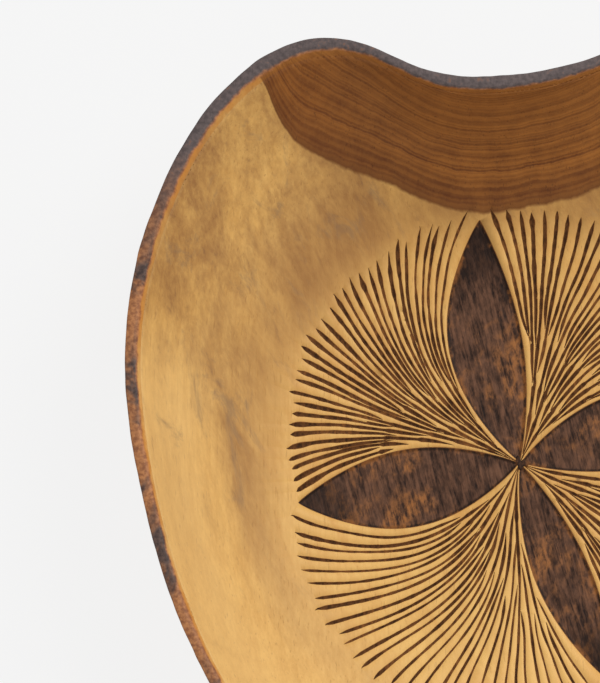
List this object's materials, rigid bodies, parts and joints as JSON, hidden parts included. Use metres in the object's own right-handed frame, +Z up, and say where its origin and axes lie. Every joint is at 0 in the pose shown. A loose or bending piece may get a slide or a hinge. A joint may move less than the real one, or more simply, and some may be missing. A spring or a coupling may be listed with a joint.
{
  "type": "carved wooden bowl",
  "caption": "Shallow carved wooden fruit bowl with a heart-shaped scorched rim, a brown heartwood patch and a burnt flower with fine rays on its floor.",
  "frame": {"origin": "middle of the flat foot, on the surface that the bowl stands on", "axes": "+Z up out of the bowl's mouth, +Y towards the notch in the rim (the back), +X to the right when the notch is at the far side"},
  "size_m": [0.2994, 0.3292, 0.062],
  "materials": {
    "sapwood": "hand-smoothed, oiled, satin",
    "heartwood": "hand-smoothed, oiled, satin",
    "scorched_wood": "flame-scorched, oiled, satin",
    "burnt_wood": "burnt with a hot tool, slightly rough"
  },
  "bodies": {
    "root": {"bowl_body": "sapwood", "heartwood_back": "heartwood", "heartwood_front": "heartwood", "scorched_rim": "scorched_wood", "burnt_petal_back": "burnt_wood", "burnt_petal_left": "burnt_wood", "burnt_petal_front": "burnt_wood", "burnt_petal_right": "burnt_wood"}
  },
  "joints": []
}
